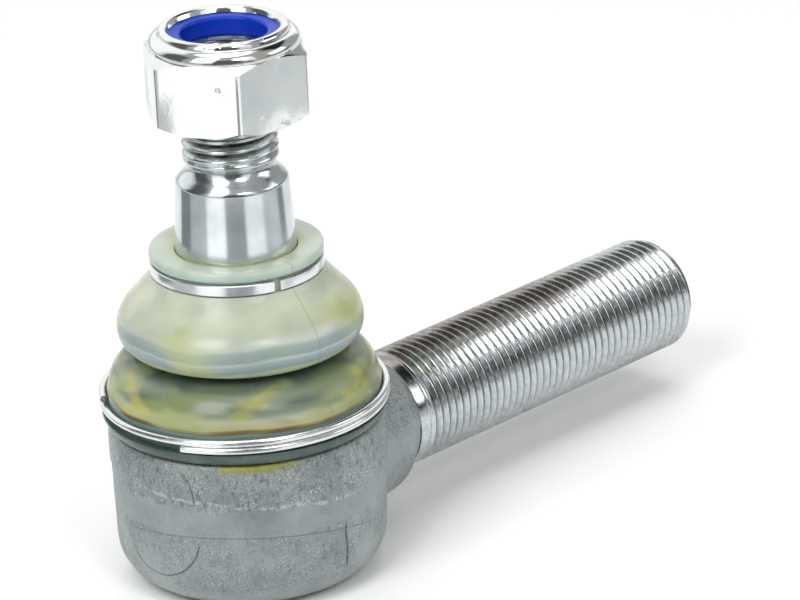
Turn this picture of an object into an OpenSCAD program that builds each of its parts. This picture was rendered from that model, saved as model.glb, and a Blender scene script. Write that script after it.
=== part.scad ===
// Tie rod end: a ball stud held in a forged socket, with a threaded shank.
// Z runs up the stud, X along the shank, and the base of the socket is at zero.

/* [Housing] */
// Outer diameter of the socket, at its shoulder
housing_d = 40.4; // [39:0.2:42]
// Forging draft: how much smaller the socket's radius is at its base
draft = 0.3; // [0:0.1:0.5]
// Radius of the rounded corner at the socket's base
corner_r = 6.5; // [3:0.5:7]
// Height of the shoulder that the boot's lip sits on
shoulder_z = 23.9; // [23:0.1:24]
// Height of the socket's machined mouth
mouth_z = 30.2; // [29.6:0.1:30.6]
// Diameter of the mouth that the stud swings in
mouth_d = 22.2; // [21:0.2:23]
// Diameter of the machined land that the boot grips
boot_land_d = 37; // [36:0.5:37.4]
// Inner diameter of the lip rolled over the cover
lip_d = 24; // [22:0.5:25]
// Thickness of the rolled lip
lip_t = 1.6; // [1:0.1:1.8]

/* [Shank] */
// Height of the shank's axis above the base
shank_z = 14.3; // [13:0.1:14.5]
// Distance from the stud's axis to the end of the shank
shank_end = 90.5; // [70:0.5:120]
// Major diameter of the shank's thread
shank_thread_d = 18; // [16:2:20]
// Distance from the stud's axis to the first thread groove
thread_start = 30.5; // [30:0.5:40]
// Diameter of the forged neck between the socket and the thread
neck_d = 23; // [20:0.5:24]
// Pitch of both metric fine threads
thread_pitch = 1.5; // [1:0.25:2]

/* [Ball stud] */
// Diameter of the ball
ball_d = 24; // [23:0.5:25]
// Height of the ball's centre
ball_z = 20.1; // [19.8:0.1:20.5]
// Diameter of the narrow neck above the ball
stud_neck_d = 13; // [12:0.5:13.5]
// Small diameter of the locating taper
taper_small_d = 16.4; // [16:0.1:17]
// Height of the taper's small end
taper_top_z = 60.8; // [58:0.1:61]
// Length over which the taper grows by one unit of diameter
taper_ratio = 8; // [6:1:10]
// Height where the taper ends, inside the boot
taper_base_z = 45.6; // [44:0.1:46]
// Major diameter of the stud's thread
stud_thread_d = 14; // [12:1:14]
// Height of the stud's end
stud_end_z = 78.9; // [76:0.1:79.2]

/* [Nut] */
// Width of the nut across its flats
nut_flats = 22; // [21:0.5:24]
// Height of the nut's underside
nut_base_z = 70.3; // [69.9:0.1:72]
// Height of the nut, with its collar
nut_h = 13.4; // [13:0.1:14]
// Outer diameter of the rolled collar
collar_d = 21.4; // [20:0.2:21.8]
// Diameter of the mouth in the rolled collar
collar_mouth_d = 15.8; // [15:0.1:16.4]
// Inner diameter of the locking insert
insert_bore_d = 12.4; // [12:0.1:13]
// Angle of one of the nut's corners around the stud
nut_angle = 53.2; // [0:0.1:60]

/* [Boot] */
// Largest diameter of the upper fold
upper_fold_d = 36; // [34:0.5:37]
// Height of the upper fold's widest place
upper_fold_z = 38.6; // [38.2:0.1:39]
// Diameter of the lip above the shoulder
boot_lip_d = 42; // [41:0.5:43]
// Height of the boot's top face
boot_top_z = 50.4; // [50:0.1:51]
// Diameter of the boot's top flange
boot_flange_d = 25.4; // [24.5:0.1:26]
// Wall of the folds
boot_wall = 1.6; // [1.2:0.1:2]

/* [Clamp rings] */
// Diameter of the lower ring's wire
wire_d = 1.1; // [1:0.05:1.2]
// Diameter of the lower ring, over the middle of its wire
lower_ring_d = 41.4; // [41:0.1:42]
// Turns in the lower ring
lower_ring_turns = 1.85; // [1.5:0.05:1.9]
// Height of the upper ring's band
upper_ring_h = 1.7; // [1.4:0.1:1.8]
// Gap between the upper ring's ends
upper_ring_gap = 1; // [0.5:0.1:2]

/* [Running clearances] */
// Gap between the ball and its seats
ball_gap = 0.05; // [0.02:0.01:0.1]
// Gap between the nut's bore and the stud's thread
thread_gap = 0.05; // [0.02:0.01:0.1]
// Gap between the boot's bore and the stud's taper
boot_gap = 0.08; // [0.02:0.01:0.1]

/* [Hidden] */
$fn = 96;
eps = 0.01;

housing_r = housing_d / 2;
boot_land_r = boot_land_d / 2;
mouth_r = mouth_d / 2;
ball_r = ball_d / 2;
seat_t = 1.6;                           // wall of the plastic seats
seat_gap = 0.05;                        // gap around the seats in their bore
socket_r = ball_r + seat_t + seat_gap;  // bore that holds the seats
cover_z = lip_t + 0.05;
cover_t = 2;
cover_r = 14.2;
cover_pocket_r = cover_r + 0.05;
spring_z = cover_z + cover_t + 0.05;
spring_h = 1.35;
plate_z = spring_z + spring_h + 0.05;
plate_t = 1.15;
seat_z = plate_z + plate_t + 0.05;
seal_section = 1.5;
pocket_top_z = cover_z + cover_t + seal_section + 0.3;
grease_hole_r = 4;

thread_depth = 0.613 * thread_pitch;    // metric external thread
crest_w = thread_pitch / 8;
thread_end_chamfer = 1;
neck_r = neck_d / 2;
neck_shoulder_x = 24.8;                 // where the neck starts to round down
boot_clear_r = 22;                      // turned clear around the boot's lip

nut_top_z = nut_base_z + nut_h;
insert_z = nut_base_z + 9.35;
insert_h = 3.1;
insert_r = 8.5;
insert_gap = 0.05;

ring_z = 26.5;                          // middle of the lower ring's first turn
lower_ring_start = 199;
upper_ring_z = 46.9;
upper_ring_angle = 252;                 // where the upper ring is split
boot_base_z = shoulder_z + 0.2;
groove_r = lower_ring_d / 2 - wire_d / 2 - 0.05;
boot_bore_r = boot_land_r + 0.05;

function taper_r(z) = taper_small_d / 2 + (taper_top_z - z) / (2 * taper_ratio);

// Points of an arc around c, from angle a0 to a1 in n steps
function arc(c, r, a0, a1, n) =
    [for (i = [0:n]) let (a = a0 + (a1 - a0) * i / n) [c[0] + r * cos(a), c[1] + r * sin(a)]];

// Thread crests as rings of pitch p between z0 and z1, as [radius, height] points
function thread_points(r, p, z0, z1) = let (turns = floor((z1 - z0) / p)) [
    for (i = [0:turns - 1]) each [
        [r, z0 + i * p], [r - thread_depth, z0 + (i + 0.44) * p],
        [r - thread_depth, z0 + (i + 0.56) * p], [r, z0 + (i + 1) * p - crest_w]]];

module spin_outline(points) rotate_extrude() polygon(points);

// Solid drop-forged body with its corner, boot land and top edge
module socket_blank() spin_outline(concat(
    [[0, 0]],
    arc([housing_r - draft - corner_r, corner_r], corner_r, -90, 0, 10),
    arc([housing_r - 0.8, shoulder_z - 0.8], 0.8, 0, 90, 4),
    [[boot_land_r, shoulder_z], [boot_land_r, ring_z - 1],
     [boot_land_r - 0.7, ring_z - 0.3], [boot_land_r - 0.7, ring_z + 2],
     [boot_land_r, ring_z + 2.7], [boot_land_r - 0.6, mouth_z], [0, mouth_z]]));

// Bores inside the socket: rolled lip, cover pocket, seat bore and flared mouth
module socket_bores() {
    translate([0, 0, -eps]) cylinder(r = lip_d / 2, h = lip_t + 2 * eps);
    translate([0, 0, lip_t]) cylinder(r = cover_pocket_r, h = pocket_top_z - lip_t);
    translate([0, 0, lip_t]) cylinder(r = socket_r, h = ball_z - lip_t);
    difference() {
        translate([0, 0, ball_z]) sphere(r = socket_r);
        cylinder(r = 2 * ball_r, h = ball_z - eps);
    }
    translate([0, 0, ball_z]) cylinder(r = mouth_r, h = mouth_z);
    translate([0, 0, mouth_z - 1.2])
        cylinder(r1 = mouth_r, r2 = mouth_r + 1.2 + eps, h = 1.2 + eps);
}

// Neck and threaded shank, turned about the X axis
module shank_blank() translate([0, 0, shank_z]) rotate([0, 90, 0]) {
    thread_r = shank_thread_d / 2;
    spin_outline(concat(
        [[0, ball_r], [neck_r, ball_r], [neck_r, neck_shoulder_x - 1.5]],
        arc([neck_r - 4.5, neck_shoulder_x - 1.5], 4.5, 10, 60, 6),
        [[thread_r, thread_start - 1.4], [thread_r, thread_start]],
        thread_points(thread_r, thread_pitch, thread_start, shank_end - thread_end_chamfer),
        [[thread_r, shank_end - thread_end_chamfer],
         [thread_r - thread_end_chamfer, shank_end], [0, shank_end]]));
}

module forged_housing() color([0.47, 0.49, 0.49]) difference() {
    union() {
        socket_blank();
        difference() {
            shank_blank();
            translate([0, 0, shoulder_z]) cylinder(r = boot_clear_r, h = mouth_z);
        }
    }
    socket_bores();
}

module ball_stud() color([0.66, 0.68, 0.7]) {
    thread_r = stud_thread_d / 2;
    neck_r = stud_neck_d / 2;
    relief_z = taper_top_z + 2.5;
    difference() {
        translate([0, 0, ball_z]) sphere(r = ball_r);
        translate([0, 0, ball_z - ball_r - eps]) cylinder(r = 3, h = 0.4);
    }
    spin_outline(concat(
        [[0, ball_z], [neck_r, ball_z], [neck_r, taper_base_z - 5],
         [taper_r(taper_base_z), taper_base_z - 1.5], [taper_r(taper_base_z), taper_base_z],
         [taper_r(taper_top_z), taper_top_z], [thread_r - 0.5, relief_z],
         [thread_r - 0.5, relief_z + 0.4], [thread_r, relief_z + 0.9]],
        thread_points(thread_r, thread_pitch, relief_z + 1, stud_end_z - thread_end_chamfer),
        [[thread_r, stud_end_z - thread_end_chamfer],
         [thread_r - thread_end_chamfer, stud_end_z], [0, stud_end_z]]));
}

module upper_ball_seat() color([0.9, 0.9, 0.86]) difference() {
    translate([0, 0, ball_z]) sphere(r = ball_r + seat_t);
    translate([0, 0, ball_z]) sphere(r = ball_r + ball_gap);
    cylinder(r = 2 * ball_r, h = ball_z + 0.15);
    cylinder(r = mouth_r + 0.3, h = 2 * mouth_z);
}

module lower_ball_seat() color([0.9, 0.9, 0.86]) difference() {
    translate([0, 0, seat_z]) cylinder(r = ball_r + seat_t, h = ball_z - 0.15 - seat_z);
    translate([0, 0, ball_z]) sphere(r = ball_r + ball_gap);
    cylinder(r = grease_hole_r, h = ball_z);
}

module pressure_plate() color([0.55, 0.56, 0.58]) difference() {
    translate([0, 0, plate_z]) cylinder(r = 12.2, h = plate_t);
    cylinder(r = grease_hole_r, h = ball_z);
}

// Coned disc spring: its rim bears on the cover and its bore on the plate
module disc_spring() color([0.35, 0.33, 0.3]) {
    inner_r = 5;
    outer_r = 11.4;
    disc_t = 0.9;
    spin_outline([[inner_r, spring_z + spring_h - disc_t], [inner_r, spring_z + spring_h],
                  [outer_r, spring_z + disc_t], [outer_r, spring_z]]);
}

module cover_seal() color([0.1, 0.1, 0.1])
    translate([0, 0, cover_z + cover_t + seal_section / 2 + 0.1])
        rotate_extrude() translate([13.45, 0]) circle(d = seal_section, $fn = 32);

// Pressed cover, dished outwards at its middle
module closing_cover() color([0.62, 0.63, 0.62]) {
    dish = 0.8;
    spin_outline([[0, cover_z - dish], [8, cover_z - dish], [10, cover_z], [cover_r, cover_z],
                  [cover_r, cover_z + cover_t], [9.6, cover_z + cover_t],
                  [7.6, cover_z + cover_t - dish], [0, cover_z + cover_t - dish]]);
}

// Two-fold boot. Its outline runs up the outside and back down the inside.
module dust_boot() color([0.72, 0.76, 0.66, 0.9]) {
    fold_r = upper_fold_d / 2;
    flange_r = boot_flange_d / 2;
    lip_r = boot_lip_d / 2;
    neck_z = upper_ring_z - 0.2;
    big = 5.2;                          // arc above the upper fold's widest place
    small = 3;                          // arc below it
    waist_z = upper_fold_z - small - 0.6;
    low_r = 6;                          // arc of the lower fold
    low_c = [lip_r - 7.1, ring_z + 2.4];
    bore_r = taper_r(boot_top_z) + boot_gap;
    spin_outline(concat(
        [[boot_bore_r, boot_base_z], [lip_r - 0.8, boot_base_z], [lip_r, ring_z - 0.7],
         [groove_r, ring_z - 0.6], [groove_r - 0.3, ring_z + 2.4]],
        arc(low_c, low_r, 5, 80, 7),
        [[fold_r - 4.2, waist_z]],
        arc([fold_r - small, upper_fold_z], small, -90, 0, 6),
        arc([fold_r - big, upper_fold_z], big, 0, 50, 5),
        [[flange_r + 0.25, neck_z - 0.7], [flange_r, neck_z], [flange_r - 0.9, neck_z + 0.1],
         [flange_r - 0.9, neck_z + upper_ring_h + 0.3],
         [flange_r, neck_z + upper_ring_h + 0.4], [flange_r, boot_top_z - 0.4],
         [flange_r - 0.4, boot_top_z], [bore_r, boot_top_z],
         [taper_r(taper_base_z) + boot_gap, taper_base_z],
         [taper_r(taper_base_z) + boot_gap, taper_base_z - 1]],
        arc([fold_r - big, upper_fold_z], big - boot_wall, 50, 0, 5),
        arc([fold_r - small, upper_fold_z], small - boot_wall, 0, -90, 4),
        [[fold_r - 6, waist_z + 0.8], [fold_r - 6, waist_z - 0.8]],
        arc(low_c, low_r - boot_wall, 75, 10, 5),
        [[boot_bore_r, ring_z + 2.9]]));
}

// Flat spring band, split at one side
module upper_boot_ring() color([0.78, 0.8, 0.8]) {
    outer_r = boot_flange_d / 2 - 0.02;
    gap_angle = 360 * upper_ring_gap / (PI * boot_flange_d);
    translate([0, 0, upper_ring_z]) rotate([0, 0, upper_ring_angle + gap_angle / 2])
        rotate_extrude(angle = 360 - gap_angle)
            translate([outer_r - 0.8, 0]) square([0.8, upper_ring_h]);
}

// Round wire wound nearly two turns, with its ends side by side
module lower_boot_ring() color([0.78, 0.8, 0.8]) {
    sides = 8;
    steps = round(52 * lower_ring_turns);
    rings = [for (i = [0:steps], j = [0:sides - 1])
        let (turn = lower_ring_turns * i / steps, a = lower_ring_start + 360 * turn,
             b = 360 * j / sides, r = lower_ring_d / 2 + (wire_d / 2) * cos(b))
        [r * cos(a), r * sin(a), ring_z + wire_d * 1.02 * turn + (wire_d / 2) * sin(b)]];
    walls = [for (i = [0:steps - 1], j = [0:sides - 1]) let (k = (j + 1) % sides)
        [i * sides + j, (i + 1) * sides + j, (i + 1) * sides + k, i * sides + k]];
    first = [for (j = [0:sides - 1]) j];
    last = [for (j = [0:sides - 1]) steps * sides + sides - 1 - j];
    polyhedron(rings, concat(walls, [first, last]));
}

module lock_nut() color([0.8, 0.82, 0.82]) {
    corner = nut_flats / 2 / cos(30);
    collar_r = collar_d / 2;
    thread_r = stud_thread_d / 2;
    collar_z = nut_top_z - 2.6;
    difference() {
        intersection() {
            translate([0, 0, nut_base_z]) rotate([0, 0, nut_angle])
                cylinder(r = corner, h = nut_h, $fn = 6);
            spin_outline(concat(
                [[0, nut_base_z], [nut_flats / 2 - 0.4, nut_base_z],
                 [corner + 0.2, nut_base_z + 1.25], [corner + 0.2, collar_z - 0.85],
                 [collar_r, collar_z]],
                arc([collar_r - 1.4, nut_top_z - 1.4], 1.4, 0, 90, 6),
                [[0, nut_top_z]]));
        }
        translate([0, 0, nut_base_z - eps]) cylinder(r = thread_r + thread_gap, h = nut_h);
        translate([0, 0, nut_base_z - eps])
            cylinder(r1 = thread_r + 0.8, r2 = thread_r + thread_gap, h = 0.75);
        translate([0, 0, insert_z - insert_gap])
            cylinder(r = insert_r + insert_gap, h = insert_h + 2 * insert_gap);
        translate([0, 0, insert_z]) cylinder(r = collar_mouth_d / 2, h = nut_h);
    }
}

module nut_locking_insert() color([0.05, 0.16, 0.72]) difference() {
    translate([0, 0, insert_z]) cylinder(r = insert_r, h = insert_h);
    translate([0, 0, nut_base_z]) cylinder(r = insert_bore_d / 2, h = nut_h);
}

forged_housing();
ball_stud();
upper_ball_seat();
lower_ball_seat();
pressure_plate();
disc_spring();
cover_seal();
closing_cover();
dust_boot();
upper_boot_ring();
lower_boot_ring();
lock_nut();
nut_locking_insert();
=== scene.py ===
# Tie rod end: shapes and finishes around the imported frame, with its light and camera
import bpy
import bmesh
import math
from mathutils import Matrix, Vector


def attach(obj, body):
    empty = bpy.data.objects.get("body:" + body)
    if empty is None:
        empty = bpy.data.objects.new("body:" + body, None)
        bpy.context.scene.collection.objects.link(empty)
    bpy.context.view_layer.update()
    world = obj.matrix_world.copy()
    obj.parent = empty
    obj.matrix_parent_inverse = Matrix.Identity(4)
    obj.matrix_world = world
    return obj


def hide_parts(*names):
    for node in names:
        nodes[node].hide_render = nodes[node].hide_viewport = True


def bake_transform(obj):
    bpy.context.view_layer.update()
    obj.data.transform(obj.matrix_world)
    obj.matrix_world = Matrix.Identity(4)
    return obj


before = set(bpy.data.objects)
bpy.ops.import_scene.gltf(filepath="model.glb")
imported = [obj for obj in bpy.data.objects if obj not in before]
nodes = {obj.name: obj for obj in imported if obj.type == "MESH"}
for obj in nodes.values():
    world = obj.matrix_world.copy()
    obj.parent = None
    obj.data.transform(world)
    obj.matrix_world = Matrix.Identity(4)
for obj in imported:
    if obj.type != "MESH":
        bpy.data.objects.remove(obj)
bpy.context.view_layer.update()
mm = 0.001
scene = bpy.context.scene
scene.view_settings.view_transform = "Standard"


def report(text):
    print("stage:", text)


# outlines are lists of (radius, height) points in mm, meshes are in metres
def arc(cx, cz, r, a0, a1, n):
    # points of an arc in an outline, angles in degrees
    turn = [math.radians(a0 + (a1 - a0) * i / n) for i in range(n + 1)]
    return [(cx + r * math.cos(a), cz + r * math.sin(a)) for a in turn]


def smooth(value, low, high):
    t = min(1, max(0, (value - low) / (high - low)))
    return t * t * (3 - 2 * t)


def chain(bm, outline, close=False):
    # an outline of (radius, height) points as a chain of edges in the XZ plane
    verts = [bm.verts.new((r * mm, 0, z * mm)) for r, z in outline]
    ends = list(zip(verts, verts[1:]))
    if close:
        ends.append((verts[-1], verts[0]))
    edges = [bm.edges.new(pair) for pair in ends]
    return verts + edges


def spinSolid(outline, steps=128, close=False):
    # a turned solid about Z; a chain that starts and ends on the axis closes itself
    bm = bmesh.new()
    geom = chain(bm, outline, close)
    bmesh.ops.spin(bm, geom=geom, cent=(0, 0, 0), axis=(0, 0, 1), dvec=(0, 0, 0),
                   angle=2 * math.pi, steps=steps, use_merge=True, use_duplicate=False)
    bmesh.ops.remove_doubles(bm, verts=bm.verts, dist=1e-6)
    bmesh.ops.recalc_face_normals(bm, faces=bm.faces)
    return bm


def makeObject(name, bm, smoothAngle=35):
    mesh = bpy.data.meshes.new(name)
    bm.to_mesh(mesh)
    bm.free()
    obj = bpy.data.objects.new(name, mesh)
    scene.collection.objects.link(obj)
    shade(obj, smoothAngle)
    return obj


def shade(obj, smoothAngle=35):
    mesh = obj.data
    mesh.shade_smooth()
    mesh.set_sharp_from_angle(angle=math.radians(smoothAngle))


def applyModifiers(obj):
    graph = bpy.context.evaluated_depsgraph_get()
    mesh = bpy.data.meshes.new_from_object(obj.evaluated_get(graph))
    obj.modifiers.clear()
    obj.data = mesh


def boolean(obj, other, operation):
    step = obj.modifiers.new(operation, "BOOLEAN")
    step.operation = operation
    step.object = other
    step.solver = "EXACT"
    applyModifiers(obj)
    bpy.data.objects.remove(other)


def finish(obj, body, replaced, material):
    # a blended piece has no body of its own here
    obj.data.materials.clear()
    obj.data.materials.append(material)
    if body:
        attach(obj, body)
    for name in replaced:
        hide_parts(name)


class Shader:
    # a material's node tree, with short ways to add the nodes used here
    def __init__(self, name):
        self.material = bpy.data.materials.new(name)
        self.material.use_nodes = True
        self.tree = self.material.node_tree
        self.bsdf = self.tree.nodes["Principled BSDF"]
        self.place = self.tree.nodes.new("ShaderNodeTexCoord").outputs["Object"]

    def add(self, kind, **settings):
        node = self.tree.nodes.new("ShaderNode" + kind)
        for key, value in settings.items():
            setattr(node, key, value)
        return node

    def link(self, a, b):
        self.tree.links.new(a, b)

    def fill(self, socket, value):
        # a number, a colour or another node's output goes into a socket
        if isinstance(value, bpy.types.NodeSocket):
            self.link(value, socket)
        elif isinstance(value, tuple) and len(value) == 3 and socket.type == "RGBA":
            socket.default_value = (*value, 1)
        else:
            socket.default_value = value

    def set(self, **values):
        for key, value in values.items():
            self.fill(self.bsdf.inputs[key.replace("_", " ")], value)

    def noise(self, scale, detail=4, rough=0.55, at=None, warp=0.0):
        n = self.add("TexNoise")
        self.link(at or self.place, n.inputs["Vector"])
        n.inputs["Scale"].default_value = scale
        n.inputs["Detail"].default_value = detail
        n.inputs["Roughness"].default_value = rough
        n.inputs["Distortion"].default_value = warp
        return n.outputs["Fac"]

    def cells(self, scale):
        n = self.add("TexVoronoi")
        self.link(self.place, n.inputs["Vector"])
        n.inputs["Scale"].default_value = scale
        return n.outputs["Distance"]

    def ramp(self, source, *stops):
        # stops are (position, value or colour)
        n = self.add("ValToRGB")
        self.link(source, n.inputs["Fac"])
        points = n.color_ramp.elements
        while len(points) < len(stops):
            points.new(0.5)
        for point, (position, value) in zip(points, stops):
            point.position = position
            point.color = (*value, 1) if isinstance(value, tuple) else (value, value, value, 1)
        return n.outputs["Color"]

    def math(self, operation, a, b=0.0):
        n = self.add("Math", operation=operation)
        self.fill(n.inputs[0], a)
        self.fill(n.inputs[1], b)
        return n.outputs["Value"]

    def times(self, first, *others):
        for other in others:
            first = self.math("MULTIPLY", first, other)
        return first

    def plus(self, a, b):
        return self.math("ADD", a, b)

    def minus(self, a, b):
        return self.math("SUBTRACT", a, b)

    def span(self, value, low, high, outLow=0.0, outHigh=1.0, eased=True):
        # value runs from low to high, the result from outLow to outHigh
        n = self.add("MapRange", interpolation_type="SMOOTHSTEP" if eased else "LINEAR")
        self.fill(n.inputs["Value"], value)
        limits = {"From Min": low, "From Max": high, "To Min": outLow, "To Max": outHigh}
        for key, number in limits.items():
            n.inputs[key].default_value = number
        return n.outputs["Result"]

    def near(self, value, full, gone):
        # 1 where value is within full of zero, 0 from gone on
        return self.span(self.math("ABSOLUTE", value), full, gone, 1.0, 0.0)

    def mix(self, factor, a, b, blend="MIX"):
        n = self.add("Mix", data_type="RGBA", blend_type=blend)
        self.fill(n.inputs["Factor"], factor)
        self.fill(n.inputs[6], a)
        self.fill(n.inputs[7], b)
        return n.outputs[2]

    def axes(self):
        n = self.add("SeparateXYZ")
        self.link(self.place, n.inputs["Vector"])
        return n.outputs["X"], n.outputs["Y"], n.outputs["Z"]

    def stretched(self, x, y, z):
        n = self.add("Mapping")
        self.link(self.place, n.inputs["Vector"])
        n.inputs["Scale"].default_value = (x, y, z)
        return n.outputs["Vector"]

    def radius(self, a, b):
        return self.math("SQRT", self.plus(self.times(a, a), self.times(b, b)))

    def bump(self, *layers):
        # layers are (height, depth in mm), from the coarsest to the finest
        last = None
        for height, depth in layers:
            n = self.add("Bump")
            n.inputs["Strength"].default_value = 1.0
            n.inputs["Distance"].default_value = depth * mm
            self.link(height, n.inputs["Height"])
            if last:
                self.link(last, n.inputs["Normal"])
            last = n.outputs["Normal"]
        self.link(last, self.bsdf.inputs["Normal"])


# marks on the forging's wall, in mm, with angles in degrees from the front, which is at 225 degrees
forgedMarks = {
    "wall": 20.0,            # radius the marks are unrolled on
    # angle, height and radius of each arc, then its lowest and highest point
    "dieArcs": [(-41, 18.3, 6.3, 16.9, 22.4), (-43, 12.7, 7.5, 4.2, 11.6)],
    "splitAngle": 44, "splitLow": 4.2, "splitHigh": 12.6,
}


def forgedSteel():
    d = forgedMarks
    s = Shader("forgedSteel")
    wall = d["wall"] * mm
    x, y, z = s.axes()
    turn = s.math("ARCTAN2", s.minus(x, y), s.times(s.plus(x, y), -1.0))   # radians from the front
    around = s.times(turn, wall)
    patches = s.noise(140, 5, 0.6)
    grain = s.noise(1500, 6, 0.7)
    gritAndGlints = s.noise(6800, 3, 0.6)
    streaks = s.noise(1700, 4, 0.65, s.stretched(1, 1, 0.5))

    # rough as forged above, a smoother rolled belt, then fine grain down to the corner
    belt = s.times(s.span(z, 0.0118, 0.0126), s.span(z, 0.0158, 0.0174, 1.0, 0.0))
    lower = s.span(z, 0.0118, 0.0126, 1.0, 0.0)
    rim = s.span(z, 0.0012, 0.0045, 1.0, 0.0)
    inside = s.span(s.radius(x, y), 0.0150, 0.0165, 1.0, 0.0)
    rubbed = s.math("MAXIMUM", s.span(patches, 0.55, 0.68), s.times(belt, 0.85))
    coarse = s.times(s.minus(1.0, rubbed), s.span(lower, 0.0, 1.0, 1.0, 0.6))
    colour = s.ramp(patches, (0.3, (0.20, 0.235, 0.24)), (0.52, (0.28, 0.32, 0.32)),
                    (0.75, (0.38, 0.415, 0.41)))
    colour = s.mix(s.times(rubbed, 0.5), colour, (0.33, 0.375, 0.38))

    # dark streaks on the coarse skin, and painted glints where its grit catches the light
    dark = s.times(s.span(streaks, 0.34, 0.5, 1.0, 0.0), coarse)
    colour = s.mix(s.times(dark, 0.62), colour, (0.085, 0.1, 0.105))
    # the bright specks are painted glints, not a colour of the steel
    paintedGlint = s.times(s.span(gritAndGlints, 0.54, 0.66), s.span(coarse, 0.0, 1.0, 0.12, 1.0))
    paintedGlint = s.times(paintedGlint, s.span(s.noise(380, 3, 0.6), 0.36, 0.6, 0.3, 1.0))
    colour = s.mix(paintedGlint, colour, (0.82, 0.86, 0.85))

    # the wavy flash line with a painted highlight along its edge, and a painted shadow along the step
    # below the belt
    wave = s.times(s.math("COSINE", s.plus(turn, math.radians(60))), 0.0019)
    wave = s.plus(wave, s.span(patches, 0.3, 0.7, 0.0162, 0.0170, False))
    flash = s.near(s.minus(z, wave), 0.00012, 0.0004)
    flash = s.times(flash, s.span(streaks, 0.4, 0.55), s.near(turn, 0.7, 1.0))
    # painted highlight along the flash line's edge
    colour = s.mix(s.times(flash, 0.38), colour, (0.74, 0.78, 0.78))
    lean = s.plus(turn, 0.15)
    sag = s.times(lean, lean, 0.0018)
    ledge = s.near(s.minus(z, s.minus(0.0125, sag)), 0.00006, 0.0002)
    ledge = s.times(ledge, s.near(turn, 0.9, 1.25))
    # painted shadow along the step below the belt
    colour = s.mix(s.times(ledge, 0.5), colour, (0.10, 0.12, 0.125))
    colour = s.mix(s.times(rim, 0.55), colour, (0.50, 0.54, 0.54))

    # grease squeezed out under the boot
    ooze = s.times(s.span(z, 0.0222, 0.0234), s.near(turn, 0.25, 0.5), s.span(patches, 0.40, 0.55))
    colour = s.mix(s.times(ooze, 0.85), colour, (0.30, 0.30, 0.035))

    # witness marks of the die and a short split, as distances on the unrolled wall
    splitAt = s.plus(around, s.span(patches, 0.3, 0.7, -0.0004, 0.0004, False))
    lines = s.near(s.minus(splitAt, math.radians(d["splitAngle"]) * wall), 0.00008, 0.00035)
    lines = s.times(lines, s.span(z, d["splitLow"] * mm, (d["splitLow"] + 1.4) * mm),
                    s.span(z, (d["splitHigh"] - 1.4) * mm, d["splitHigh"] * mm, 1.0, 0.0))
    for angle, height, r, low, high in d["dieArcs"]:
        across = s.minus(around, math.radians(angle) * wall)
        rise = s.minus(z, height * mm)
        mark = s.near(s.minus(s.radius(across, rise), r * mm), 0.00003, 0.00014)
        mark = s.times(mark, s.span(z, low * mm, (low + 1.5) * mm),
                       s.span(z, (high - 1) * mm, high * mm, 1.0, 0.0),
                       s.span(around, math.radians(angle - 25) * wall, math.radians(angle - 12) * wall))
        lines = s.math("MAXIMUM", lines, mark)
    lines = s.times(lines, s.span(streaks, 0.3, 0.55, 0.35, 1.0))
    colour = s.mix(s.times(lines, 0.75), colour, (0.05, 0.055, 0.06))
    colour = s.mix(s.times(inside, 0.6), colour, (0.22, 0.23, 0.23))

    rough = s.minus(s.span(grain, 0.3, 0.7, 0.52, 0.36), s.times(rim, 0.1))
    s.set(Base_Color=colour, Metallic=0.78, Roughness=rough)
    deep = s.times(grain, s.span(coarse, 0.0, 1.0, 0.25, 1.0))
    s.bump((patches, 0.3), (s.times(lines, -1.0), 0.12), (deep, 0.17), (s.times(gritAndGlints, coarse), 0.05))
    return s.material


def rolledThread(name, crest, depth, tip, alongX, axisHeight):
    # bright flanks, painted shade darkening the thread roots, faint turning lines
    s = Shader(name)
    x, y, z = s.axes()
    r = s.radius(y, s.minus(z, axisHeight * mm)) if alongX else s.radius(x, y)
    along = x if alongX else z
    root = s.span(r, (crest - depth) * mm, (crest - 0.35 * depth) * mm, 1.0, 0.0)
    root = s.times(root, s.span(along, (tip - 0.3) * mm, (tip - 0.1) * mm, 1.0, 0.12))   # less painted root shade on the end face
    stainAndShade = s.noise(260, 4, 0.6)
    smear = s.noise(900, 5, 0.65)
    colour = s.ramp(smear, (0.3, (0.43, 0.465, 0.47)), (0.7, (0.66, 0.70, 0.705)))
    # painted shade in the thread roots, broken up by noise
    rootShade = s.times(root, s.span(stainAndShade, 0.42, 0.6, 0.6, 0.97))
    colour = s.mix(rootShade, colour, (0.055, 0.056, 0.05))
    if alongX:
        # a brown film along the top of the shank
        film = s.times(s.span(z, (axisHeight + 0.70 * crest) * mm, (axisHeight + crest) * mm),
                       s.span(x, 0.06, 0.084, 1.0, 0.0), s.span(stainAndShade, 0.3, 0.6, 0.35, 0.8))
        colour = s.mix(film, colour, (0.20, 0.15, 0.105))
    rough = s.plus(s.span(smear, 0.3, 0.75, 0.12, 0.24), s.times(root, 0.25))
    s.set(Base_Color=colour, Metallic=1.0, Roughness=rough)
    s.bump((smear, 0.012), (s.noise(3500, 3, 0.6), 0.004))
    return s.material


def groundSteel():
    s = Shader("groundSteel")
    lines = s.noise(30, 2, 0.5, s.stretched(1, 1, 420))
    fine = s.noise(60, 3, 0.6, s.stretched(1, 1, 900))
    cloud = s.noise(220, 4, 0.6)
    colour = s.mix(s.span(cloud, 0.3, 0.7), (0.57, 0.62, 0.63), (0.71, 0.76, 0.775))
    s.set(Base_Color=colour, Metallic=1.0, Roughness=s.span(fine, 0.25, 0.75, 0.12, 0.19))
    s.bump((lines, 0.004), (fine, 0.002))
    return s.material


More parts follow.
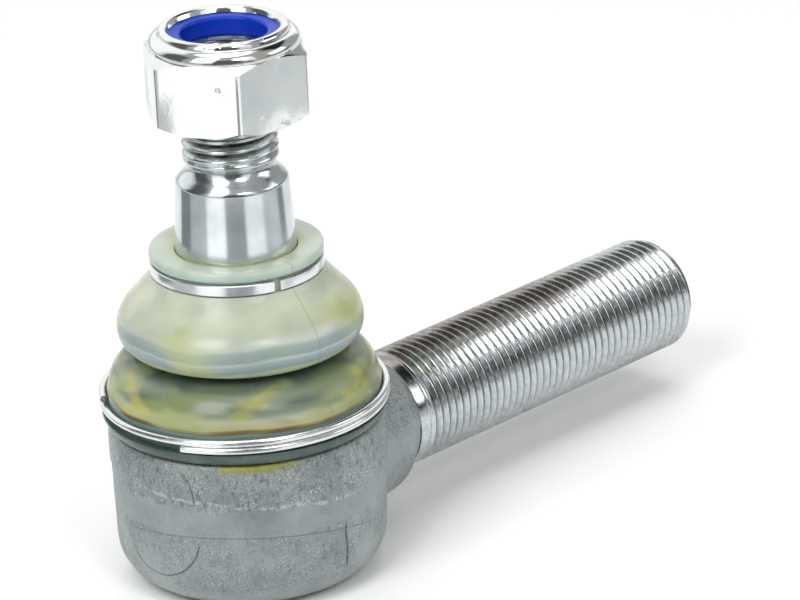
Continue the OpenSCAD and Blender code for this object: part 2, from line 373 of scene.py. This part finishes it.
def brightZinc():
    s = Shader("brightZinc")
    cloud = s.noise(190, 4, 0.55)
    haze = s.noise(700, 5, 0.65)
    dents = s.cells(420)
    colour = s.ramp(cloud, (0.3, (0.72, 0.75, 0.76)), (0.55, (0.80, 0.83, 0.82)),
                    (0.75, (0.79, 0.80, 0.74)))
    ding = s.span(s.noise(430, 2, 0.4), 0.68, 0.74)
    colour = s.mix(s.times(ding, 0.5), colour, (0.45, 0.46, 0.45))
    s.set(Base_Color=colour, Metallic=1.0, Roughness=s.span(haze, 0.3, 0.75, 0.07, 0.17))
    s.bump((cloud, 0.05), (s.times(ding, -1.0), 0.06), (dents, 0.01), (s.noise(2600, 4, 0.6), 0.006))
    return s.material


def zincWire():
    s = Shader("zincWire")
    haze = s.noise(900, 5, 0.6)
    s.set(Base_Color=s.mix(haze, (0.68, 0.71, 0.71), (0.84, 0.86, 0.85)), Metallic=1.0,
          Roughness=s.span(haze, 0.3, 0.7, 0.16, 0.26))
    s.bump((s.noise(1800, 3, 0.6), 0.003))
    return s.material


def blueNylon():
    s = Shader("blueNylon")
    cloud = s.noise(300, 3, 0.5)
    colour = s.mix(cloud, (0.0, 0.022, 0.34), (0.0, 0.045, 0.52))
    s.set(Base_Color=colour, Roughness=s.span(cloud, 0.3, 0.7, 0.3, 0.42), Specular_IOR_Level=0.3,
          Subsurface_Weight=0.12)
    s.bsdf.inputs["Subsurface Radius"].default_value = (0.0004, 0.0006, 0.002)
    s.bump((s.noise(1600, 4, 0.6), 0.015))
    return s.material


def bootUrethane(name, tintAndShadeBands, specks):
    # cloudy translucent urethane; the bands are (height in mm, colour) from the lowest up and hold the
    # urethane's own tint and grease together with painted shade and painted light, and specks of grease
    # are (scale, threshold, softness, colour, strength, upright stretch)
    s = Shader(name)
    x, y, z = s.axes()
    cloud = s.noise(75, 2, 0.45)
    swirl = s.noise(140, 2, 0.45, s.stretched(1, 1, 1.5))
    drift = s.span(cloud, 0.3, 0.7, -0.00035, 0.00035, False)
    low, high = tintAndShadeBands[0][0], tintAndShadeBands[-1][0]
    level = s.span(s.plus(z, drift), low * mm, high * mm, 0.0, 1.0, False)
    # colour by height: the urethane's tint and grease, with painted shade and painted light among the
    # bands
    colour = s.ramp(level, *[((h - low) / (high - low), c) for h, c in tintAndShadeBands])
    colour = s.mix(s.span(swirl, 0.4, 0.7, 0.0, 0.3), colour, (0.26, 0.32, 0.29))
    for scale, threshold, soft, tint, strength, stretch in specks:
        blob = s.noise(scale, 2, 0.4, s.stretched(1, 1, stretch), 0.25)
        blob = s.times(s.span(blob, threshold, threshold + soft),
                       s.span(z, 0.0283, 0.0294, 0.0, strength))
        colour = s.mix(blob, colour, tint)

    # the mould's parting line, and the yellower lip that hugs the taper
    seam = s.near(s.minus(x, s.times(y, 0.1)), 0.00004, 0.00016)
    seam = s.times(seam, s.span(y, -0.002, 0.0, 1.0, 0.0))
    colour = s.mix(s.times(seam, 0.35), colour, (0.25, 0.28, 0.22))
    snug = s.times(s.span(s.radius(x, y), 0.0092, 0.0112, 1.0, 0.0), s.span(z, 0.0480, 0.0495))
    colour = s.mix(s.times(snug, 0.55), colour, (0.62, 0.63, 0.28))
    s.set(Base_Color=colour, Roughness=s.span(swirl, 0.3, 0.7, 0.2, 0.28), Subsurface_Weight=0.45,
          Transmission_Weight=0.2, IOR=1.46)
    s.bsdf.inputs["Subsurface Radius"].default_value = (0.0026, 0.0028, 0.002)
    s.bump((cloud, 0.06), (seam, 0.03))
    return s.material


def plainMoulding(name, colour, rough):
    s = Shader(name)
    cloud = s.noise(500, 5, 0.6)
    darker = tuple(c * 0.72 for c in colour)
    s.set(Base_Color=s.mix(cloud, darker, colour),
          Roughness=s.span(cloud, 0.3, 0.7, rough - 0.08, rough + 0.08))
    s.bump((s.noise(2400, 4, 0.6), 0.02))
    return s.material


def pressedSteel():
    s = Shader("pressedSteel")
    cloud = s.noise(160, 5, 0.6)
    grain = s.noise(1900, 5, 0.65)
    stain = s.span(s.noise(120, 3, 0.5), 0.55, 0.7)
    colour = s.mix(cloud, (0.30, 0.31, 0.31), (0.50, 0.51, 0.50))
    colour = s.mix(s.times(stain, 0.4), colour, (0.20, 0.17, 0.12))
    s.set(Base_Color=colour, Metallic=0.9, Roughness=s.span(grain, 0.3, 0.7, 0.3, 0.5))
    s.bump((cloud, 0.08), (grain, 0.03))
    return s.material


# forged socket and neck, mm
socket = {
    "axisHeight": 14.3,      # of the shank
    "topRadius": 20.2, "baseRadius": 19.9, "corner": 6.5,
    "shoulder": 23.9, "landRadius": 18.5, "mouth": 30.2,
    "pocket": 13.6, "throat": 11.1, "cover": 12.1,
    "neckRadius": 11.4,
    "voxel": 0.36, "smoothing": 8,
    "lumpSize": 4.5, "lumpHeight": 0.16,
    "flashHeight": 16.6, "flashWave": 1.9, "proud": 0.16,      # the wavy flash line
    "ledgeHeight": 12.6, "ledgeAngle": 215, "sunk": 0.13,      # the step below the belt
}


def socketOutline():
    d = socket
    land, pocket, throat, cover = d["landRadius"], d["pocket"], d["throat"], d["cover"]
    outline = [(cover, 0.25)] + arc(d["baseRadius"] - d["corner"], d["corner"], d["corner"], -90, 0, 16)
    outline += arc(d["topRadius"] - 0.9, d["shoulder"] - 0.9, 0.9, 0, 90, 5)
    outline += [(land, d["shoulder"]), (land, 25.6), (land - 0.7, 26.2)]
    outline += [(land - 0.7, 28.5), (land, 29.2), (land - 0.6, d["mouth"])]
    outline += [(12.4, d["mouth"]), (throat, 29.0), (throat, 27.8)]
    outline += [(pocket, 22.0), (pocket, 2.0), (cover, 1.4)]
    return outline


def neckOutline():
    r = socket["neckRadius"]
    outline = [(0, 15.5), (13.0, 15.5), (12.2, 18.5), (r + 0.2, 20.2), (r, 21.8)]
    outline += arc(r - 4.5, 22.4, 4.5, 4, 60, 8)[1:]
    outline += [(9.3, 26.7), (9.02, 27.2), (8.6, 27.5), (0, 27.5)]
    return outline


def layAlongX(bm):
    # from upright on the origin to lying on the shank's axis
    bmesh.ops.rotate(bm, verts=bm.verts, cent=(0, 0, 0), matrix=Matrix.Rotation(math.pi / 2, 3, "Y"))
    bmesh.ops.translate(bm, verts=bm.verts, vec=(0, 0, socket["axisHeight"] * mm))


def stepWall(mesh):
    # the wall stands proud above the flash line and steps in below the belt
    d = socket
    for v in mesh.vertices:
        x, y, z = v.co / mm
        r = math.hypot(x, y)
        if r <= 18.7 or z >= 23:
            continue
        phi = math.degrees(math.atan2(y, x)) % 360
        flash = d["flashHeight"] + d["flashWave"] * math.cos(math.radians(phi - 165))
        flash += 0.3 * math.sin(math.radians(phi * 9))
        proud = d["proud"] * smooth(z, flash - 0.12, flash + 0.22) * smooth(z, 23, 21.5)
        across = phi - d["ledgeAngle"]
        ledge = d["ledgeHeight"] - 0.00055 * across ** 2
        sunk = d["sunk"] * smooth(z, ledge, ledge - 0.25) * smooth(abs(across), 75, 45)
        v.co.x *= 1 + (proud - sunk) / r
        v.co.y *= 1 + (proud - sunk) / r


def forging():
    d = socket
    body = makeObject("forgedSocket", spinSolid(socketOutline(), 160, close=True))
    bm = spinSolid(neckOutline(), 96)
    layAlongX(bm)
    stub = makeObject("neckBlank", bm)
    room = [(0, d["shoulder"]), (22, d["shoulder"]), (22, 40), (0, 40)]
    boolean(stub, makeObject("lipClearance", spinSolid(room, 96)), "DIFFERENCE")
    boolean(body, stub, "UNION")
    remesh = body.modifiers.new("voxels", "REMESH")
    remesh.mode = "VOXEL"
    remesh.voxel_size = d["voxel"] * mm
    remesh.use_smooth_shade = True
    soften = body.modifiers.new("soften", "SMOOTH")
    soften.iterations = d["smoothing"]
    soften.factor = 0.5
    lumps = bpy.data.textures.new("forgedLumps", "CLOUDS")
    lumps.noise_scale = d["lumpSize"] * mm
    lumps.noise_depth = 3
    swell = body.modifiers.new("lumps", "DISPLACE")
    swell.texture = lumps
    swell.texture_coords = "LOCAL"
    swell.strength = d["lumpHeight"] * mm
    swell.mid_level = 0.62
    applyModifiers(body)
    stepWall(body.data)
    report("forging has %d faces" % len(body.data.polygons))
    shade(body, 60)
    finish(body, "housing", ["forged_housing"], forgedSteel())


def threadOutline(r, depth, pitch, z0, z1):
    # one row of rounded 60 degree teeth from z0 to z1, as (depth, part of the pitch) of each point
    tooth = [(0, 0), (0.03, 0.10), (0.14 * depth, 0.19), (0.88 * depth, 0.44), (depth, 0.54),
             (0.88 * depth, 0.64), (0.14 * depth, 0.89), (0.03, 0.97)]
    outline = []
    z = z0
    while z < z1:
        outline += [(r - deep, z + part * pitch) for deep, part in tooth]
        z += pitch
    return outline


def setRadius(v, now, want):
    v.co.x *= want / now
    v.co.y *= want / now


def helixThread(r, depth, pitch, start, end, fade, chamfer, foot, steps=96):
    # a true helix along Z: the row of teeth spins once while it climbs one pitch. The thread fades out
    # over fade past start, and foot gives the radius before that
    bm = bmesh.new()
    geom = chain(bm, threadOutline(r, depth, pitch, start - 2 * pitch, end + 2 * pitch))
    bmesh.ops.spin(bm, geom=geom, cent=(0, 0, 0), axis=(0, 0, 1), dvec=(0, 0, pitch * mm / steps),
                   angle=2 * math.pi, steps=steps, use_merge=False, use_duplicate=False)
    bmesh.ops.remove_doubles(bm, verts=bm.verts, dist=2e-6)
    for v in bm.verts:
        z = v.co.z / mm
        now = math.hypot(v.co.x, v.co.y) / mm
        want = r - (r - now) * smooth(z, start, start + fade)
        if z < start:
            want = max(foot(z), want)
        want = min(want, r - chamfer + max(0, end - z))
        setRadius(v, now, want)
    return bm


def closeEnds(bm, z0, z1):
    # cuts the thread flat at both heights and caps it
    for z, side in ((z0, -1), (z1, 1)):
        geom = list(bm.verts) + list(bm.edges) + list(bm.faces)
        bmesh.ops.bisect_plane(bm, geom=geom, dist=1e-7, plane_co=(0, 0, z * mm), plane_no=(0, 0, side),
                               clear_outer=True)
    rims = [e for e in bm.edges if e.is_boundary]
    bmesh.ops.holes_fill(bm, edges=rims, sides=0)
    bmesh.ops.recalc_face_normals(bm, faces=bm.faces)


# threaded shank, mm along its axis from the stud's centre
shank = {
    "radius": 9.0, "depth": 0.92, "pitch": 1.5, "root": 25.2, "start": 29.3, "end": 90.5,
    "fade": 1.6, "chamfer": 1.1, "fillet": 1.3, "filletEnd": 27.6,
}


def threadedShank():
    d = shank

    def collar(x):
        # a turned fillet where the shank leaves the forged neck
        run = min(max(0, d["filletEnd"] - x), d["fillet"] - 0.05)
        return d["radius"] + d["fillet"] - math.sqrt(d["fillet"] ** 2 - run ** 2)

    bm = helixThread(d["radius"], d["depth"], d["pitch"], d["start"], d["end"], d["fade"], d["chamfer"],
                     collar)
    closeEnds(bm, d["root"], d["end"] - 0.02)
    layAlongX(bm)
    obj = makeObject("threadedShank", bm, 50)
    look = rolledThread("shankThread", d["radius"], d["depth"], d["end"], True, socket["axisHeight"])
    finish(obj, "housing", [], look)


# ball stud, mm
stud = {
    "ball": 12.0, "ballHeight": 20.1, "neck": 6.5,
    "taperFoot": 45.6, "taperTop": 60.8, "taperSmall": 8.2, "ratio": 8,
    "thread": 7.0, "depth": 0.92, "pitch": 1.5, "threadStart": 64.2, "end": 78.9,
    "fade": 1.2, "chamfer": 0.9, "undercut": 6.3, "undercutTop": 63.1,
}


def taperRadius(z):
    return stud["taperSmall"] + (stud["taperTop"] - z) / (2 * stud["ratio"])


def studOutline():
    d = stud
    c, foot = d["ballHeight"], d["taperFoot"]
    wide = taperRadius(foot)
    join = math.degrees(math.asin(math.sqrt(1 - (d["neck"] / d["ball"]) ** 2)))
    outline = arc(0, c, d["ball"], -90, join, 40)
    outline += [(d["neck"], c + 12.5), (d["neck"], foot - 5), (wide - 0.3, foot - 1.7)]
    outline += [(wide, foot - 1.3), (wide, foot)]
    outline += [(8.24, 60.2), (8.19, 60.62), (8.02, 60.9), (7.2, 61.75), (6.75, 62.25)]
    outline += [(6.45, 62.75), (6.32, 63.3), (6.25, 64.4), (5.9, 66), (0, 66)]
    return outline


def ballStud():
    d = stud
    body = makeObject("studTaper", spinSolid(studOutline(), 144))
    finish(body, "stud", ["ball_stud"], groundSteel())
    bm = helixThread(d["thread"], d["depth"], d["pitch"], d["threadStart"], d["end"], d["fade"],
                     d["chamfer"], lambda z: 0, 88)
    for v in bm.verts:
        # the first turn sinks into the undercut
        now = math.hypot(v.co.x, v.co.y) / mm
        limit = d["undercut"] + max(0, v.co.z / mm - d["undercutTop"]) * 0.75
        setRadius(v, now, min(now, limit))
    closeEnds(bm, 62.9, d["end"] - 0.02)
    thread = makeObject("studThread", bm, 50)
    look = rolledThread("studThreadSteel", d["thread"], d["depth"], d["end"], False, 0)
    finish(thread, "stud", [], look)


# lock nut and its nylon insert, mm, with the angle of one corner
nut = {
    "flats": 22.0, "base": 70.3, "height": 13.4, "mouth": 7.9, "bore": 7.05, "angle": 53.2,
    "cornerRound": 0.5, "edgeRound": 0.22,
    "insertZ": 79.65, "insertH": 3.1, "insertR": 8.5, "insertBore": 6.2,
}


def nutOutline(corner):
    # chamfered base, hexagon, collar rolled over the insert, then the bore
    d = nut
    base, top, bore = d["base"], d["base"] + d["height"], d["bore"]
    seat, low, high = d["insertR"] + 0.05, d["insertZ"] - 0.05, d["insertZ"] + d["insertH"]
    outline = [(bore + 0.8, base), (11.25, base), (corner, base + 1.3), (corner, top - 3.95)]
    outline += [(11.12, top - 2.85), (11.0, top - 2.7), (10.98, top - 2.2), (10.8, top - 1.75)]
    outline += [(10.4, top - 1.3), (9.95, top - 1.02), (9.62, top - 0.92), (9.5, top - 0.8)]
    outline += arc(8.75, top - 0.72, 0.72, 15, 165, 10) + [(d["mouth"] + 0.05, top - 0.75)]
    outline += [(d["mouth"], high + 0.1), (seat, high + 0.08), (seat, low)]
    outline += [(bore, low), (bore, base + 0.75)]
    return outline


def lockNut():
    d = nut
    corner = d["flats"] / 2 / math.cos(math.radians(30))
    bm = bmesh.new()
    bmesh.ops.create_cone(bm, cap_ends=True, segments=6, radius1=corner * mm, radius2=corner * mm,
                          depth=(d["height"] + 2) * mm)
    # a new cone has a corner at 30 degrees
    bmesh.ops.rotate(bm, verts=bm.verts, cent=(0, 0, 0),
                     matrix=Matrix.Rotation(math.radians(d["angle"] - 30), 3, "Z"))
    bmesh.ops.translate(bm, verts=bm.verts, vec=(0, 0, (d["base"] + d["height"] / 2) * mm))
    upright = [e for e in bm.edges if abs(e.verts[0].co.z - e.verts[1].co.z) > 5 * mm]
    bmesh.ops.bevel(bm, geom=upright, offset=d["cornerRound"] * mm, offset_type="OFFSET", segments=4,
                    profile=0.5, affect="EDGES", material=-1)
    hexagon = makeObject("lockNut", bm)
    blank = makeObject("nutBlank", spinSolid(nutOutline(corner + 0.3), 192, close=True))
    boolean(hexagon, blank, "INTERSECT")
    bevel = hexagon.modifiers.new("edges", "BEVEL")
    bevel.width = d["edgeRound"] * mm
    bevel.segments = 3
    bevel.limit_method = "ANGLE"
    bevel.angle_limit = math.radians(28)
    bevel.use_clamp_overlap = True
    applyModifiers(hexagon)
    shade(hexagon, 30)
    finish(hexagon, "nut", ["lock_nut"], brightZinc())


def lockingInsert():
    d = nut
    z0, z1 = d["insertZ"], d["insertZ"] + d["insertH"]
    r0, r1 = d["insertBore"], d["insertR"]
    outline = [(r1, z0), (r1, z1)] + arc(r0 + 0.5, z1 - 0.5, 0.5, 90, 180, 6)
    outline += [(r0, z0 + 0.6), (r0 + 0.5, z0)]
    ring = makeObject("lockingInsert", spinSolid(outline, 128, close=True))
    finish(ring, "nut_carriage", ["nut_locking_insert"], blueNylon())


# dust boot: two folds that meet at the waist, mm
boot = {
    "waist": (13.6, 35.1), "foldRadius": 18.0, "foldHeight": 38.6, "bigArc": 5.2, "smallArc": 3.0,
    "flange": 12.7, "top": 50.4, "grooveLow": 46.75, "grooveHigh": 48.95, "wall": 1.5,
    "lipRadius": 21.0, "lipBase": 24.1, "lowCentre": (13.9, 28.9), "lowArc": 6.0,
}


def upperFold():
    d = boot
    r, z = d["foldRadius"], d["foldHeight"]
    big, small, wall = d["bigArc"], d["smallArc"], d["wall"]
    bore = taperRadius(d["top"]) + 0.08
    outline = [(12.2, d["waist"][1] + 0.1), d["waist"]]
    outline += arc(r - small, z, small, -84, 0, 12)
    outline += arc(r - big, z, big, 0, 50, 12)[1:]
    outline += [(14.5, 44.5), (13.25, 45.75), (12.9, 46.3), (12.62, d["grooveLow"])]
    outline += [(11.9, d["grooveLow"] + 0.05), (11.9, d["grooveHigh"] - 0.05), (12.4, d["grooveHigh"])]
    outline += [(12.65, 49.1), (d["flange"], 49.35), (d["flange"], 50.0), (12.6, 50.27)]
    outline += [(12.35, d["top"]), (11.2, 50.38), (10.0, 50.3), (bore + 0.35, 50.36), (bore, 50.1)]
    wide = taperRadius(stud["taperFoot"])
    outline += [(wide + 0.08, stud["taperFoot"]), (wide + 0.1, 44.8), (10.4, 44.4)]
    outline += arc(r - big, z, big - wall, 50, 0, 8)
    outline += arc(r - small, z, small - wall, 0, -80, 6)
    piece = makeObject("bootUpperFold", spinSolid(outline, 160, close=True), 50)
    # the blue-grey band from 37.3 to 40.2 mm is painted shade seen through the wall, with pale painted
    # light lines across it; the greens, creams and yellows are the urethane and its grease
    tintAndShadeBands = [(35.0, (0.20, 0.28, 0.09)), (35.9, (0.40, 0.50, 0.26)), (36.7, (0.50, 0.58, 0.40)),
             (37.3, (0.26, 0.34, 0.33)), (38.2, (0.34, 0.43, 0.43)), (38.6, (0.50, 0.58, 0.56)),
             (39.0, (0.30, 0.39, 0.39)), (40.2, (0.40, 0.48, 0.46)), (40.7, (0.60, 0.66, 0.58)),
             (42.2, (0.56, 0.61, 0.47)), (44.5, (0.66, 0.70, 0.52)), (46.5, (0.60, 0.66, 0.52)),
             (49.4, (0.50, 0.62, 0.56)), (50.4, (0.64, 0.72, 0.62))]
    specks = [(58, 0.55, 0.16, (0.58, 0.60, 0.20), 0.55, 1.4),
              (90, 0.58, 0.12, (0.32, 0.42, 0.10), 0.4, 2.0)]
    look = bootUrethane("bootPale", tintAndShadeBands, specks)
    finish(piece, None, ["dust_boot"], look)
    return piece


def lowerFold():
    d = boot
    cx, cz = d["lowCentre"]
    lip = d["lipRadius"]
    outline = [(18.56, d["lipBase"]), (lip - 0.95, d["lipBase"]), (lip - 0.7, 24.3), (lip - 0.05, 25.6)]
    outline += [(lip - 0.12, 25.82), (20.1, 25.9), (20.08, 29.2), (19.95, 29.5)]
    outline += arc(cx, cz, d["lowArc"], 12, 74, 14)
    outline += [(14.2, 34.9), d["waist"], (12.2, d["waist"][1] + 0.1), (12.3, 34.2), (13.6, 33.5)]
    outline += arc(cx, cz, d["lowArc"] - d["wall"], 70, 16, 8)
    outline += [(18.56, 29.9)]
    piece = makeObject("bootLowerFold", spinSolid(outline, 160, close=True), 50)
    # the dark bands at the lip, up to 27.6 mm, are painted shade where the thin lip lies on the steel,
    # and those from 31.1 mm up to the waist are painted shadow under the upper fold; the teal, brown,
    # yellow and pale bands between are the urethane's tint and grease
    tintAndShadeBands = [(24.1, (0.05, 0.08, 0.07)), (27.6, (0.09, 0.14, 0.125)), (28.5, (0.16, 0.27, 0.25)),
             (28.75, (0.13, 0.08, 0.025)), (29.15, (0.20, 0.14, 0.05)), (29.4, (0.48, 0.45, 0.24)),
             (30.4, (0.50, 0.53, 0.38)), (31.1, (0.25, 0.30, 0.22)), (32.2, (0.13, 0.165, 0.125)),
             (33.2, (0.24, 0.30, 0.21)), (34.1, (0.11, 0.15, 0.12)), (35.2, (0.06, 0.09, 0.08))]
    specks = [(60, 0.50, 0.14, (0.30, 0.36, 0.12), 0.6, 1.8),
              (85, 0.54, 0.12, (0.48, 0.52, 0.25), 0.6, 2.4),
              (80, 0.60, 0.12, (0.10, 0.085, 0.03), 0.55, 3.0),
              (110, 0.56, 0.16, (0.60, 0.55, 0.12), 0.55, 2.8)]
    look = bootUrethane("bootDeep", tintAndShadeBands, specks)
    finish(piece, None, ["dust_boot"], look)
    return piece


# clamp rings, mm and degrees
rings = {
    "wire": 1.1, "radius": 20.7, "height": 26.5, "turns": 1.85, "start": 199,    # wound lower ring
    "bandRadius": 12.69, "bandInner": 11.9, "bandLow": 46.95, "bandHigh": 48.55,  # split upper band
    "gapAngle": 252.3, "gap": 1.0,
}


def lowerRing():
    # a disc spun round the groove while it climbs, so that the turns lie on each other
    d = rings
    bm = bmesh.new()
    bmesh.ops.create_circle(bm, cap_ends=True, segments=20, radius=d["wire"] / 2 * mm)
    bmesh.ops.rotate(bm, verts=bm.verts, cent=(0, 0, 0), matrix=Matrix.Rotation(math.pi / 2, 3, "X"))
    bmesh.ops.translate(bm, verts=bm.verts, vec=(d["radius"] * mm, 0, d["height"] * mm))
    bmesh.ops.rotate(bm, verts=bm.verts, cent=(0, 0, 0),
                     matrix=Matrix.Rotation(math.radians(d["start"]), 3, "Z"))
    steps = round(150 * d["turns"])
    rise = d["wire"] * 1.015 * d["turns"] * mm / steps
    geom = list(bm.verts) + list(bm.edges) + list(bm.faces)
    bmesh.ops.spin(bm, geom=geom, cent=(0, 0, 0), axis=(0, 0, 1), dvec=(0, 0, rise),
                   angle=2 * math.pi * d["turns"], steps=steps, use_merge=False, use_duplicate=False)
    bmesh.ops.recalc_face_normals(bm, faces=bm.faces)
    return bm


def upperBand():
    d = rings
    r, inner, low, high = d["bandRadius"], d["bandInner"], d["bandLow"], d["bandHigh"]
    outline = [(inner, low), (r - 0.14, low), (r - 0.03, low + 0.1), (r, low + 0.35), (r, high - 0.35),
               (r - 0.03, high - 0.1), (r - 0.14, high), (inner, high)]
    gap = d["gap"] / 12.7        # in radians
    bm = bmesh.new()
    geom = chain(bm, outline, close=True)
    bmesh.ops.rotate(bm, verts=bm.verts, cent=(0, 0, 0),
                     matrix=Matrix.Rotation(math.radians(d["gapAngle"]) + gap / 2, 3, "Z"))
    bmesh.ops.spin(bm, geom=geom, cent=(0, 0, 0), axis=(0, 0, 1), dvec=(0, 0, 0),
                   angle=2 * math.pi - gap, steps=160, use_merge=False, use_duplicate=False)
    bmesh.ops.holes_fill(bm, edges=[e for e in bm.edges if e.is_boundary], sides=0)
    bmesh.ops.recalc_face_normals(bm, faces=bm.faces)
    return bm


def clampRings():
    look = zincWire()
    ring = makeObject("lowerBootRing", lowerRing(), 40)
    finish(ring, "housing", ["lower_boot_ring"], look)
    band = makeObject("upperBootRing", upperBand(), 40)
    finish(band, "boot_top", ["upper_boot_ring"], look)


report("forging")
forging()
report("threads and stud")
threadedShank()
ballStud()
report("nut")
lockNut()
lockingInsert()
report("boot and rings")
upper = upperFold()
lower = lowerFold()
clampRings()
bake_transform(lower)
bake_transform(upper)

report("inner pieces")
seatLook = plainMoulding("seatAcetal", (0.80, 0.79, 0.73), 0.45)
sealLook = plainMoulding("sealRubber", (0.03, 0.03, 0.03), 0.6)
pressLook = pressedSteel()
innerLooks = {"upper_ball_seat": seatLook, "lower_ball_seat": seatLook, "pressure_plate": pressLook,
              "disc_spring": pressLook, "cover_seal": sealLook, "closing_cover": pressLook}
for name, look in innerLooks.items():
    nodes[name].data.materials.clear()
    nodes[name].data.materials.append(look)

# floor, light and camera
studio = {
    "strength": 0.94, "tent": 0.42,
    # azimuth, half width, lowest and highest elevation in degrees, brightness added to the tent
    "boxes": [(316, 13, 14, 34, 2.2), (190, 14, 6, 55, 0.9), (68, 49, 4, 60, 0.8), (262, 8, 8, 46, 0.8),
              (0, 178, 68, 90, 1.9), (232, 34, -2, 40, -0.30), (352, 24, 36, 62, -0.40),
              (135, 22, 0, 50, -0.3), (314, 22, 5, 12, -0.42)],
    # start and end azimuth, near and far radius in metres, grey
    "cards": [(209, 247, 0.05, 0.5, 0.26), (284, 299, 0.09, 0.6, 0.55), (299, 322, 0.16, 0.6, 0.60),
              (322, 340, 0.17, 0.6, 0.20), (134, 172, 0.07, 0.6, 0.45), (104, 134, 0.12, 0.6, 0.2)],
    # name, place and size in metres, watts
    "lights": [("keyLeft", (-0.5, -0.1, 0.55), (0.3, 0.4), 2.2),
               ("fillFront", (-0.2, -0.6, 0.6), (0.25, 0.25), 1.2)],
    "lightTarget": (0.01, 0, 0.04),
}
# camera, in mm and degrees
view = {
    "place": (-489.02, -510.88, 319.61), "target": (16.27, -16.63, 40.32),
    "lens": 235.77, "roll": -2.72,
}


def makeFloor():
    bm = bmesh.new()
    bmesh.ops.create_grid(bm, x_segments=1, y_segments=1, size=6)
    floor = makeObject("floor", bm)
    s = Shader("paleFloor")
    s.set(Base_Color=(0.95, 0.95, 0.95), Roughness=0.8)
    floor.data.materials.append(s.material)


def areaLight(name, place, size, power):
    light = bpy.data.lights.new(name, "AREA")
    light.shape = "RECTANGLE"
    light.size, light.size_y = size
    light.energy = power
    obj = bpy.data.objects.new(name, light)
    obj.location = place
    away = Vector(studio["lightTarget"]) - Vector(place)
    obj.rotation_euler = away.to_track_quat("-Z", "Y").to_euler()
    scene.collection.objects.link(obj)


def makeWorld():
    # a dim tent with soft boxes, so bright metal has light and dark to reflect
    world = bpy.data.worlds.new("studio")
    scene.world = world
    world.use_nodes = True
    tree = world.node_tree
    sky = tree.nodes["Background"]

    def calc(operation, a, b):
        n = tree.nodes.new("ShaderNodeMath")
        n.operation = operation
        for socket, value in zip(n.inputs, (a, b)):
            if isinstance(value, bpy.types.NodeSocket):
                tree.links.new(value, socket)
            else:
                socket.default_value = value
        return n.outputs["Value"]

    def times(a, b):
        return calc("MULTIPLY", a, b)

    def step(value, low, high):
        n = tree.nodes.new("ShaderNodeMapRange")
        n.interpolation_type = "SMOOTHSTEP"
        tree.links.new(value, n.inputs["Value"])
        n.inputs["From Min"].default_value = low
        n.inputs["From Max"].default_value = high
        return n.outputs["Result"]

    split = tree.nodes.new("ShaderNodeSeparateXYZ")
    tree.links.new(tree.nodes.new("ShaderNodeTexCoord").outputs["Generated"], split.inputs["Vector"])
    x, y, z = split.outputs
    flat = calc("MAXIMUM", calc("SQRT", calc("ADD", times(x, x), times(y, y)), 0), 1e-4)
    total = studio["tent"]
    edge = math.radians(3)                                   # half the width of a box's soft edge
    for azimuth, half, low, high, level in studio["boxes"]:
        a = math.radians(azimuth)
        low, high = math.radians(low), math.radians(high)
        facing = calc("DIVIDE", calc("ADD", times(x, math.cos(a)), times(y, math.sin(a))), flat)
        wide = step(facing, math.cos(math.radians(min(179, half + 5))), math.cos(math.radians(half)))
        above = step(z, math.sin(low - edge), math.sin(low + edge))
        below = step(z, math.sin(min(math.pi / 2, high + edge)), math.sin(high - edge))
        total = calc("ADD", times(times(wide, above), times(below, level)), total)
    tree.links.new(total, sky.inputs["Color"])
    sky.inputs["Strength"].default_value = studio["strength"]


def makeCards():
    # grey cards that lie round the part and show only in reflections, as stripes on the polished stud
    for k, (start, end, near, far, grey) in enumerate(studio["cards"]):
        bm = bmesh.new()
        inner, outer = (bm.verts.new((r, 0, 0.0006)) for r in (near, far))
        rim = bm.edges.new((inner, outer))
        bmesh.ops.rotate(bm, verts=bm.verts, cent=(0, 0, 0),
                         matrix=Matrix.Rotation(math.radians(start), 3, "Z"))
        bmesh.ops.spin(bm, geom=[inner, outer, rim], cent=(0, 0, 0), axis=(0, 0, 1), dvec=(0, 0, 0),
                       angle=math.radians(end - start), steps=12, use_merge=False, use_duplicate=False)
        card = makeObject("card%d" % k, bm)
        s = Shader("cardGrey%d" % k)
        s.set(Base_Color=(grey, grey * 1.04, grey * 1.05), Roughness=0.8)
        card.data.materials.append(s.material)
        card.visible_camera = False
        card.visible_shadow = False
        card.visible_diffuse = False


def makeCamera():
    lens = bpy.data.cameras.new("camera")
    lens.lens = view["lens"]
    lens.sensor_width = 36
    lens.clip_end = 20
    camera = bpy.data.objects.new("camera", lens)
    place = Vector(view["place"]) * mm
    aim = (Vector(view["target"]) * mm - place).to_track_quat("-Z", "Y").to_matrix().to_4x4()
    roll = Matrix.Rotation(math.radians(view["roll"]), 4, "Z")
    camera.matrix_world = Matrix.Translation(place) @ aim @ roll
    scene.collection.objects.link(camera)
    scene.camera = camera


report("studio")
makeFloor()
makeCards()
makeWorld()
for light in studio["lights"]:
    areaLight(*light)
makeCamera()
report("done")
